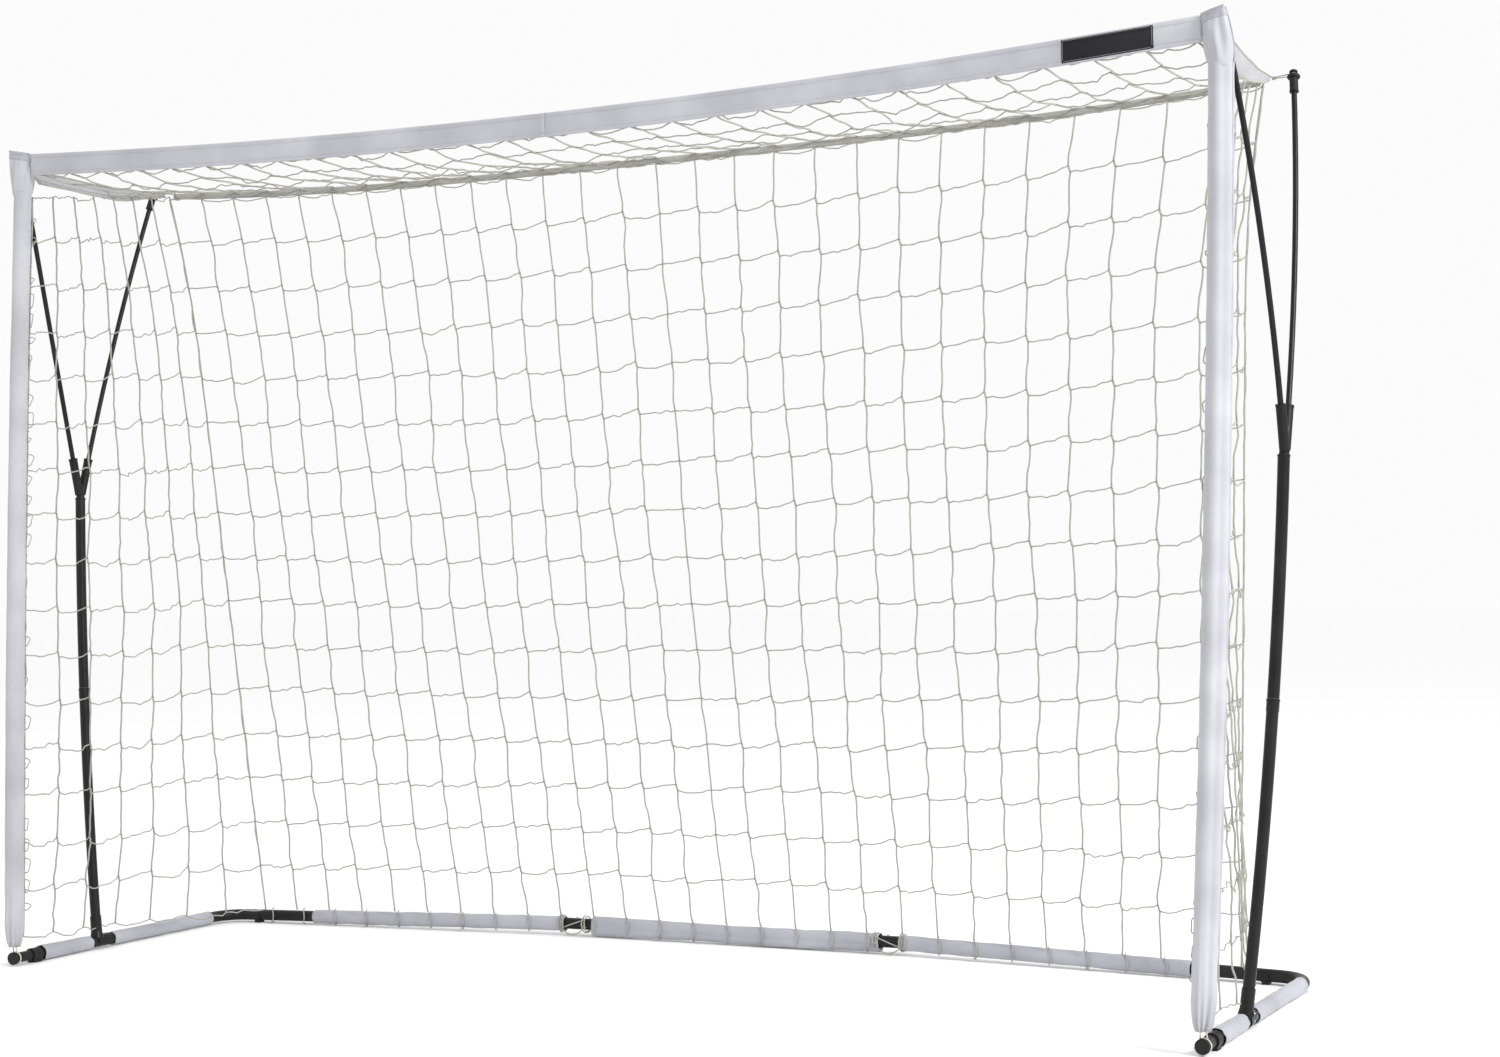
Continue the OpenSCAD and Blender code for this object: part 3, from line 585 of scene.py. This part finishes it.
def patch():
    """A plain woven patch with a raised sewn border on the right half of the crossbar."""
    shape = Shape()
    low, high = PATCH_LOW.x, PATCH_HIGH.x
    margin, step, edge = 0.004, 60, 0.002
    downs = np.linspace(margin, BAND_H - margin, 20)

    def face(x, down, lift):
        return [x, band_side(x, down, -1) - lift, band_top(x) - down]

    rows = []
    for x in np.linspace(low, high, step):
        rise = [0.0006 + 0.0007 * min(1.0, (x - low) / edge, (high - x) / edge, (d - margin) / edge,
                                      (BAND_H - margin - d) / edge) for d in downs]
        front = [face(x, d, r) for d, r in zip(downs, rise)]
        back = [face(x, d, 0.0002) for d in reversed(downs)]
        rows.append(np.array(front + back))
    skin(shape, rows)
    for down in (margin + 0.0024, BAND_H - margin - 0.0024):
        row = [face(x, down, 0.0015) for x in np.linspace(low + 0.003, high - 0.003, 80)]
        stitches(shape, row, (0, -1, 0), length=0.0026, gap=0.0008, tag=1)
    for x in (low + 0.0028, high - 0.0028):
        row = [face(x, down, 0.0015) for down in np.linspace(margin + 0.003, BAND_H - margin - 0.003, 30)]
        stitches(shape, row, (0, -1, 0), length=0.0026, gap=0.0008, tag=1)
    piece = shape.object("crossbar_patch_cloth", [PATCH_CLOTH, PATCH_THREAD])
    blend_x(piece)
    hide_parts("crossbar_patch")


patch()


# ---------------------------------------------------------------- top corners

def corner(name, side):
    """The sewn pocket: the post's cloth widens, flattens and ends in a slanted, stitched hem."""
    shape = Shape()
    rows = []
    count = 44
    angles = np.arange(count) * 2 * np.pi / count
    axis = post_point(0.97) - post_point(0.9)
    axis /= np.linalg.norm(axis)
    hem_mid = (EAR_IN + EAR_OUT) / 2
    along = EAR_OUT - EAR_IN
    half = np.linalg.norm(along) / 2
    along = along / (2 * half)
    for k in np.linspace(0, 1, 40):
        ease = k * k * (3 - 2 * k)
        centre = lerp(post_point(0.965), hem_mid, k)
        centre[1] = lerp(post_point(0.965)[1], hem_mid[1], k ** 3)
        wide = lerp(np.array([1, 0, 0]), along, ease)
        deep = np.array([0.0, 1.0, 0.0]) - wide * wide[1]
        a, b = (1 - ease) * POST_R + ease * half, (1 - k ** 3.5) * POST_R + k ** 3.5 * 0.0042
        tuck = 0.0050 * math.exp(-k / 0.09)
        a, b = a - tuck, b - tuck
        swell = math.sin(math.pi * k)
        ring = []
        for angle in angles:
            c, s = math.cos(angle), math.sin(angle)
            fold = swell * (0.0022 * math.cos(5 * angle + 3 * k) + 0.0016 * math.cos(9 * angle - 2 * k))
            ring.append(centre + wide * c * (a + fold + 0.005 * swell * (c > 0) * c)
                        + deep * s * (b + fold + 0.008 * swell * (s > 0) * s))
        rows.append(np.array(ring))
    lined(shape, rows, WALL)
    hem_fold = []
    for ring in rows[-8:]:
        spokes = ring - ring.mean(0)
        hem_fold.append(ring + spokes / np.linalg.norm(spokes, axis=1)[:, None] * 0.0009)
    lined(shape, hem_fold, 0.0008, 3)
    for lift in (0.0045, 0.0075):
        hem = [lerp(EAR_IN, EAR_OUT, t) - axis * lift + np.array([0, -0.0055 - lift * 0.45, 0])
               for t in np.linspace(0.08, 0.9, 20)]
        stitches(shape, hem, (0, -1, 0), length=0.0032, gap=0.0012, tag=1)
    roll = [lerp(EAR_IN, EAR_OUT, t) - np.array([0, 0, 0.0025]) for t in np.linspace(-0.01, 0.97, 20)]
    sweep(shape, roll, 0.0026, 8, tag=2)
    edge = [EAR_IN - np.array([0.001, 0.0, 0.002])]
    for u in np.linspace(0.05, 1, 14):
        edge.append(np.array([RAIL_X + 0.0095 + 0.006 * u * u, CAP_Y + 0.104, EAR_IN[2] - 0.062 * u]))
    sweep(shape, edge, 0.0021, 6, tag=2)
    ear, post_side = EAR_OUT - np.array([0, -0.01, 0.003]), post_point(0.955) + np.array([0.022, 0.012, 0])
    back = [lerp(ear, post_side, u) + math.sin(math.pi * u) * np.array([0.006, 0.010, 0])
            for u in np.linspace(0, 1, 18)]
    sweep(shape, back, 0.0024, 6, tag=2)
    piece = shape.object(f"{name}_corner_cloth", [WHITE_CLOTH, THREAD, SEAM_CLOTH, HEM_CLOTH], side)
    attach(piece, f"{name}_upright")
    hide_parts(f"{name}_corner_pocket")


TAIL = np.array([RAIL_X + 0.010, CAP_Y + 0.618, 1.979])


def gusset(name, side):
    """A slack white triangle of cloth with a corded outer edge that narrows to the rear tip."""
    shape = Shape()
    upper = np.array([RAIL_X + 0.050, CAP_Y + 0.132, 1.990])
    lower = np.array([RAIL_X + 0.012, CAP_Y + 0.140, 1.950])
    rows = []
    across, length = 10, 46
    for v in np.linspace(0, 1, length):
        sag = 0.022 * math.sin(math.pi * v)
        line_a = lerp(upper, TAIL + [0.004, 0, 0.004], v) - np.array([0.004, 0, sag * 0.5])
        line_b = lerp(lower, TAIL - [0.004, 0, 0.004], v ** 0.8) - np.array([0, 0, sag])
        top = [lerp(line_a, line_b, u) + np.array([0, 0, 0.004 * rough((u * 0.1, v * 0.4, side), 0.07)])
               for u in np.linspace(0, 1, across)]
        foot = [p - np.array([0, 0, 0.0012]) for p in reversed(top)]
        rows.append(np.array(top + foot))
    skin(shape, rows)
    for index in (0, across - 1):
        sweep(shape, [r[index] for r in rows], 0.0020, 6, tag=1)
    piece = shape.object(f"{name}_gusset_cloth", [SOFT_WHITE, TWINE], side)
    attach(piece, f"{name}_upright")
    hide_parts(f"{name}_gusset")


def tie(name, side):
    """A doubled cord from the gusset's tail round the groove of the rear tip."""
    shape = Shape()
    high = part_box("right_tie_cord")[1]
    middle = np.array([high.x - 0.0080, high.y - 0.0080, high.z - 0.0040])
    loop_r = 0.0068
    loop = [TAIL + np.array([0.002, 0.002, 0.001])]
    for a in np.linspace(-2.3, 2.3, 22):
        c, s = math.cos(a), math.sin(a)
        loop.append(middle + loop_r * np.array([c, s, 0.096 * c - 0.328 * s]))
    loop.append(TAIL + np.array([0.002, -0.002, -0.002]))
    sweep(shape, loop, 0.0012, 6)
    for k in range(3):
        turn = [TAIL + np.array([0.004 + 0.0022 * k, 0.0032 * math.cos(a), 0.0032 * math.sin(a)])
                for a in np.linspace(0, 2 * math.pi, 13)[:-1]]
        sweep(shape, turn, 0.0012, 6, closed=True)
    piece = shape.object(f"{name}_tie", [TWINE], side)
    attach(piece, f"{name}_upright")
    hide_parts(f"{name}_tie_cord")


def elastic(name, side):
    """The elastic loop that holds the foot of a post round the stub, behind the end cap."""
    shape = Shape()
    y, r = CAP_Y + 0.0140, 0.0145
    loop = []
    for a in np.linspace(math.radians(60), math.radians(480), 34):
        lean = 0.0016 * math.sin(a * 0.5)
        loop.append([RAIL_X + r * math.cos(a), y + lean, RAIL_Z + r * math.sin(a)])
    ends = [[RAIL_X + 0.004, CAP_Y + 0.008, 0.056], [RAIL_X - 0.004, CAP_Y + 0.008, 0.056]]
    sweep(shape, [ends[0]] + loop + [ends[1]], 0.0017, 8)
    piece = shape.object(f"{name}_elastic", [ELASTIC], side)
    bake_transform(piece)
    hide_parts(f"{name}_post_loop")


def leaf_spring(name, side):
    """The folded leaf under a snap button."""
    low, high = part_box("right_button_spring")
    width, thick = high.y - low.y, 0.0008
    y = (low.y + high.y) / 2
    bend = low.x + 0.0014
    path = [(high.x, high.z - thick * 0.7), (low.x + 0.010, low.z + 0.0048), (bend + 0.001, low.z + 0.0021),
            (bend, low.z + 0.0014), (bend + 0.001, low.z + 0.0007), (low.x + 0.010, low.z + thick / 2),
            (high.x, low.z + thick / 2)]
    _, n, b = frames([(x, y, z) for x, z in path], side=(0, 1, 0))
    rows = []
    for (x, z), flat, up in zip(path, n, b):
        p = np.array([x, y, z])
        across, rise = flat * width / 2, up * thick / 2
        rows.append(np.array([p + across + rise, p - across + rise, p - across - rise, p + across - rise]))
    shape = Shape()
    skin(shape, rows)
    piece = shape.object(f"{name}_leaf_spring", [STEEL], side)
    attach(piece, "base")
    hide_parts(f"{name}_button_spring")
    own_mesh(piece)


for name, side in SIDES:
    leaf_spring(name, side)
    corner(name, side)
    gusset(name, side)
    tie(name, side)
    elastic(name, side)


# ---------------------------------------------------------------- net

def strand(a, b, droop, sway, points=6, kink=0.0):
    """A slack length of twine between two knots. kink is the size of its small random bends."""
    a, b = np.asarray(a, float), np.asarray(b, float)
    long = np.linalg.norm(b - a)
    path = []
    tilt = rng.uniform(-0.5, 0.5)
    for t in np.linspace(0, 1, points):
        low = 4 * t * (1 - t) * (1 + tilt * (2 * t - 1))
        p = lerp(a, b, t) - np.array([0, 0, droop * long * low])
        bend = rng.normal(0.0, kink, 3) if kink and 0 < t < 1 else np.zeros(3)
        path.append(p + sway * long * math.sin(2 * math.pi * t) * np.array([0.5, 0.5, 0.2]) + bend)
    return path


def knot(shape, top, foot):
    """The join of a crossing: the two upright strands run side by side for a short way."""
    for shift in (-0.0011, 0.0011):
        off = np.array([shift, 0.0008, 0.0])
        path = [lerp(top, foot, t) + off * math.cos(math.pi * t) for t in (0.0, 0.25, 0.5, 0.75, 1.0)]
        sweep(shape, path, [0.0015, 0.0021, 0.0023, 0.0021, 0.0015], 5)


def mesh_net(shape, grid, loose, across, step, droop=0.05, skip_edges=()):
    """Twine between the knots of a grid. Each join is a short step, where the strands change places."""
    rows, columns = len(grid), len(grid[0])
    across = np.asarray(across, float)

    def ends(i, j):
        p = grid[j][i]
        if 0 < i < columns - 1 and 0 < j < rows - 1:
            return p + step - across * JOIN_HALF, p - step + across * JOIN_HALF
        return p, p

    for j in range(rows):
        for i in range(columns):
            top, foot = ends(i, j)
            if top is not foot:
                knot(shape, top, foot)
            row_edge = j == 0 and "low" in skip_edges
            column_edge = (i == 0 and "first" in skip_edges) or (i == columns - 1 and "last" in skip_edges)
            if i < columns - 1 and not row_edge:
                sag = droop * rng.uniform(-0.2, 1.8)
                twist = rng.uniform(-0.05, 0.05)
                sweep(shape, strand(foot, ends(i + 1, j)[0], sag, twist, 8, 0.0015 * loose), TWINE_R, 6)
            if j < rows - 1 and not column_edge:
                lean = rng.uniform(-0.03, 0.03) * loose
                upright = strand(top, ends(i, j + 1)[1], 0.0, lean, 6, 0.0006 * loose)
                sweep(shape, upright, UPRIGHT_TWINE_R, 6)


def border(shape, path, radius=0.0019):
    """The thicker cord along an edge of a net."""
    sweep(shape, path, radius, 7)


FOOT_Z = RAIL_Z + SLEEVE_R + 0.004


def necked(height):
    """How far the side net is drawn inward at a height, as a share of the pull at its middle."""
    t = np.clip((height - 0.05) / 1.88, 0, 1)
    return math.sin(math.pi * t) ** 0.75


def back_corner(t):
    """The line where the back net meets a side net: it leans in from the strap to the rear leg."""
    z = lerp(FOOT_Z, strap_mid(RAIL_X - 0.02), t)
    flare = 0.033 * max(0.0, (z - 1.5) / 0.45) ** 2
    return np.array([RAIL_X - 0.150 + 0.054 * z + flare, CAP_Y + 0.812 - 0.098 * z, z])


def back_point(u, t):
    """A point on the back net: u from -1 to 1 across, t from the floor to the strap."""
    edge = back_corner(t)
    x = edge[0] * u
    foot = bar_point(u * back_corner(0)[0]) + np.array([0, -0.008, SLEEVE_R + 0.003])
    head = np.array([u * (RAIL_X - 0.012), STRAP_Y - 0.004, strap_mid(u * (RAIL_X - 0.02)) - STRAP_H / 2])
    p = lerp(foot, head, t)
    belly = math.sin(math.pi * t) * (1 - u * u)
    share = abs(u) ** 5
    y = (p[1] - 0.02 * belly) * (1 - share) + edge[1] * share
    return np.array([x, y, p[2] - 0.012 * belly])


def side_point(u, t):
    """A point on the right side net: u from the post to the rear corner, t from the floor up."""
    rear = back_corner(t)
    foot_y = CAP_Y + 0.030
    front = post_point(t * 0.955 + 0.012) + np.array([-0.010, POST_R + 0.001, 0.0])
    if t < 0.04:
        front[1] = lerp(foot_y, front[1], t / 0.04)
    p = lerp(front, rear, u)
    pull = math.sin(math.pi * u) * necked(p[2])
    p[0] -= 0.036 * pull
    drape = math.sin(math.pi * u) * (1 - t)
    p[0] += 0.062 * drape * (1 - t)
    p[2] -= 0.010 * drape * math.sin(math.pi * t)
    return p


def roof_point(u, v):
    """A point on the roof net: u across, v from the crossbar back to the strap."""
    x = u * (BAND_END - 0.012)
    front = np.array([x, BAND_Y + 0.006, band_top(x) - BAND_H + 0.003])
    rear = np.array([u * (RAIL_X - 0.012), STRAP_Y - 0.004, strap_mid(u * (RAIL_X - 0.02)) + STRAP_H / 2])
    p = lerp(front, rear, v)
    p[2] -= 0.018 * math.sin(math.pi * v)
    return p


def wobble(p, size, seed):
    """A point of a net moved from its even place by the slack of the twine."""
    drift = np.array([rough(p, 0.2, seed), 0.6 * rough(p, 0.2, seed + 9), rough(p, 0.17, seed + 5)])
    return p + size * drift


def back_net(name, side):
    """One half of the back net, from its foot on the rear bar up to the strap."""
    shape = Shape()
    half = MESH_COLUMNS // 2 + 1
    us = np.linspace(0, 1, half + 1)
    grid = []
    for j, t in enumerate(np.linspace(0, 1, MESH_ROWS + 1)):
        row = []
        for i, u in enumerate(us):
            p = back_point(u * side, t)
            loose = 0.011 if 0 < j < MESH_ROWS and 0 < i < half else 0.0
            if 0 < j < MESH_ROWS and i == 0:
                loose = 0.006
            row.append(wobble(p, loose, 2.0))
        grid.append(row)
    if side < 0:
        grid = [row[::-1] for row in grid]
    skip = ("last", "low") if side < 0 else ("low",)
    mesh_net(shape, grid, 1.0, (1, 0, 0), np.array([0, 0, 0.0070]), skip_edges=skip)
    border(shape, [back_corner(t) * [side, 1, 1] for t in np.linspace(0, 1, 60)], 0.0019)
    piece = shape.object(f"back_net_{name}_half", [TWINE])
    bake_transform(piece)
    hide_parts("back_net")


def side_net(name, side):
    """The net between a post and the rear corner."""
    shape = Shape()
    columns = 7
    grid = []
    for j, t in enumerate(np.linspace(0, 1, MESH_ROWS + 1)):
        row = []
        for i, u in enumerate(np.linspace(0, 1, columns + 1)):
            p = side_point(u, t)
            loose = 0.014 if 0 < i < columns and 0 < j < MESH_ROWS else 0.0
            row.append(wobble(p, loose, 7.0 + side))
        grid.append(row)
    mesh_net(shape, grid, 1.5, (0, 1, 0), np.array([0, 0, 0.0075]), droop=0.09, skip_edges=("last",))
    border(shape, [side_point(0.0, t) for t in np.linspace(0, 1, 90)], 0.0018)
    for t in np.linspace(0.06, 0.96, 17):
        lace(shape, t)
    edge_loops(shape)
    piece = shape.object(f"{name}_side_net_twine", [TWINE], side)
    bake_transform(piece)
    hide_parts(f"{name}_side_net")


def lace(shape, t):
    """A short tie that holds the side net's front edge to the seam of the post."""
    p = side_point(0.0, t)
    c = post_point(t * 0.955 + 0.012)
    path = []
    for a in np.linspace(0, 6, 9):
        path.append(p + 0.0026 * np.array([math.cos(a), math.sin(a), 0.4 * math.cos(a)]))
    path.append(lerp(p, c, 0.18))
    sweep(shape, path, 0.0011, 5)


LOOP_LIMITS = ((0, 1), (-0.004, 0.011), (0.005, 0.019), (-1, 1))
LOOP_GAPS = 0.28


def edge_loops(shape):
    """Slack loops of twine that show on the inner side of a post, where the net is laced to it."""
    chance = np.random.default_rng(19)
    for t in np.arange(0.05, 0.94, 0.026):
        draw, out, drop, lean = [chance.uniform(low, high) for low, high in LOOP_LIMITS]
        if draw < LOOP_GAPS:
            continue
        root = post_point(t) + np.array([-0.72 * POST_R, 0.76 * POST_R, 0.0])
        path = []
        for a in np.linspace(0, 2 * math.pi, 13):
            bulge = math.sin(a / 2) ** 0.7 + 0.12 * math.sin(1.5 * a + lean) * math.sin(a / 2)
            height = drop * (math.cos(a / 2) + 0.18 * lean * math.sin(a))
            path.append(root + np.array([-(0.34 * POST_R + out) * bulge, 0.003 * math.sin(a), height]))
        sweep(shape, path, 0.0013, 5)


def roof_net(name, side):
    """One half of the roof net, from the crossbar back to the strap."""
    shape = Shape()
    half = MESH_COLUMNS // 2 + 1
    rows = 4
    grid = []
    for j, v in enumerate(np.linspace(0, 1, rows + 1)):
        row = []
        for i, u in enumerate(np.linspace(0, 1, half + 1)):
            p = roof_point(u * side, v)
            loose = 0.012 if 0 < j < rows and 0 < i < half else 0.0
            row.append(wobble(p, loose, 4.0))
        grid.append(row)
    if side < 0:
        grid = [row[::-1] for row in grid]
    skip = ("last",) if side < 0 else ()
    mesh_net(shape, grid, 1.2, (1, 0, 0), np.array([0, -0.0065, 0.0]), droop=0.08, skip_edges=skip)
    piece = shape.object(f"roof_net_{name}_half", [TWINE])
    blend_x(piece)
    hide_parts("roof_net")


def coil_round(axis_from, axis_to, radius, turns, lift=0.0, points=14):
    """Twine wound round a tube between two points on its axis, never below the floor."""
    axis = axis_to - axis_from
    direction = axis / np.linalg.norm(axis)
    n = np.array([0, 0, 1.0]) - direction * direction[2]
    n /= np.linalg.norm(n)
    b = np.cross(direction, n)
    path = []
    for k in range(int(turns * points) + 1):
        a = 2 * math.pi * k / points
        r = radius + lift * (1 + math.cos(a * 0.37)) / 2
        p = axis_from + axis * k / (turns * points) + n * math.cos(a) * r + b * math.sin(a) * r
        p[2] = max(p[2], TWINE_R + 0.0004)
        path.append(p)
    return path


def over_sleeve(x):
    """The last length of a column: down the front of the rear bar and back under it."""
    reach = SLEEVE_R + TWINE_R + 0.0010
    c = bar_point(x)
    path = []
    for a in np.linspace(math.radians(96), math.radians(268), 15):
        extra = 0.006 * max(0.0, -math.sin(a)) if abs(x) < 0.42 else 0.0
        r = reach + extra
        p = c + np.array([0.012 * math.cos(a) ** 2, r * math.cos(a), r * math.sin(a)])
        p[2] = max(p[2], 0.0016)
        path.append(p)
    return path


def curl(shape, p, size, tilt):
    """A small slack loop of twine that hangs from a knot."""
    path = []
    for a in np.linspace(0.2, 5.9, 12):
        reach = math.sin(a)
        q = p + size * np.array([reach * math.cos(tilt), reach * math.sin(tilt), math.cos(a) - 1])
        q[2] = max(q[2], 0.0022)
        path.append(q)
    sweep(shape, path, 0.0011, 5)


def lashings():
    """The twine that ties the foot of the net to the sleeves and the tubes."""
    shape = Shape()
    half = MESH_COLUMNS // 2 + 1
    for side in (-1, 1):
        for i in range(half + (side > 0)):
            u = side * (i + (side < 0)) / half
            x = u * back_corner(0)[0]
            if 0.418 < abs(x) < 0.478:
                continue
            path = over_sleeve(x)
            sweep(shape, path, TWINE_R, 5)
            if i % 3 == 1:
                curl(shape, path[11] + np.array([0.0, -0.002, 0.004]), 0.0045, 0.3 + i)
        inner, outer = bar_point(side * 0.412), bar_point(side * 0.482)
        hang = [lerp(inner, outer, t) + np.array([0, -0.017, -0.010 - 0.016 * math.sin(math.pi * t)])
                for t in np.linspace(-0.1, 1.1, 12)]
        for p in hang:
            p[2] = max(p[2], 0.0020)
        sweep(shape, hang, TWINE_R, 6)
        cross = []
        for t in np.linspace(0, 1, 8):
            off = np.array([0, -0.0165 - 0.001 * math.sin(math.pi * t), 0.013 - 0.024 * t])
            cross.append(lerp(inner, outer, t) + off)
        sweep(shape, cross, TWINE_R, 6)
        for end in (inner, outer):
            a, b = end - np.array([0.005, 0, 0]), end + np.array([0.005, 0, 0])
            sweep(shape, coil_round(a, b, SLEEVE_R + 0.0014, 1.6, 0.002), TWINE_R, 6)
            curl(shape, end + np.array([0.0, -SLEEVE_R - 0.002, 0.006]), 0.005, 0.4)
    piece = shape.object("foot_lashings", [TWINE])
    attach(piece, "base")


for name, side in SIDES:
    back_net(name, side)
    side_net(name, side)
    roof_net(name, side)
lashings()


# ---------------------------------------------------------------- stage

def floor():
    """A plain pale floor."""
    mesh = bpy.data.meshes.new("floor")
    size = 40.0
    corners = [(-size, -size, 0), (size, -size, 0), (size, size, 0), (-size, size, 0)]
    mesh.from_pydata(corners, [], [(0, 1, 2, 3)])
    piece = bpy.data.objects.new("floor", mesh)
    bpy.context.scene.collection.objects.link(piece)
    mesh.materials.append(new_material("pale_floor", (0.985, 0.985, 0.985), 0.9, specular=0.0)[0])
    piece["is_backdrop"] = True


def area_light(name, spot, aim_at, size, power):
    """A soft rectangular lamp, aimed at a point."""
    data = bpy.data.lights.new(name, "AREA")
    data.shape = "RECTANGLE"
    data.size, data.size_y = size
    data.energy = power
    lamp = bpy.data.objects.new(name, data)
    lamp.location = spot
    lamp.rotation_euler = (Vector(aim_at) - Vector(spot)).to_track_quat("-Z", "Y").to_euler()
    bpy.context.scene.collection.objects.link(lamp)


def lights():
    """A white room, a key light from the right and a weak one from the front."""
    world = bpy.data.worlds.new("studio")
    bpy.context.scene.world = world
    world.use_nodes = True
    background = world.node_tree.nodes["Background"]
    background.inputs["Color"].default_value = (1.0, 1.0, 1.0, 1)
    background.inputs["Strength"].default_value = 0.97
    area_light("key", (6.2, -1.8, 4.2), (0.6, 0.0, 1.0), (1.8, 1.8), 330.0)
    area_light("front", (-3.0, -6.5, 4.0), (0.0, 0.0, 1.0), (4.0, 3.0), 40.0)


def camera():
    """Stands in front and to the right, about a metre up, and looks to the left and slightly up."""
    heading, rise, roll = math.radians(26.784), math.radians(0.889), math.radians(-0.978)
    ahead = Vector((-math.sin(heading), math.cos(heading), 0))
    forward = ahead * math.cos(rise) + Vector((0, 0, math.sin(rise)))
    level = Vector((math.cos(heading), math.sin(heading), 0))
    above = level.cross(forward)
    right = level * math.cos(roll) + above * math.sin(roll)
    up = above * math.cos(roll) - level * math.sin(roll)
    data = bpy.data.cameras.new("camera")
    data.sensor_width = 36.0
    data.lens = 59.27
    data.clip_end = 100.0
    eye = bpy.data.objects.new("camera", data)
    bpy.context.scene.collection.objects.link(eye)
    place = Vector((2.8772, CAP_Y - 4.606, 0.9513))
    eye.matrix_world = Matrix((
        (right.x, up.x, -forward.x, place.x),
        (right.y, up.y, -forward.y, place.y),
        (right.z, up.z, -forward.z, place.z),
        (0, 0, 0, 1)))
    bpy.context.scene.camera = eye


floor()
lights()
camera()
bpy.context.scene.view_settings.view_transform = "Standard"

low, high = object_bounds()
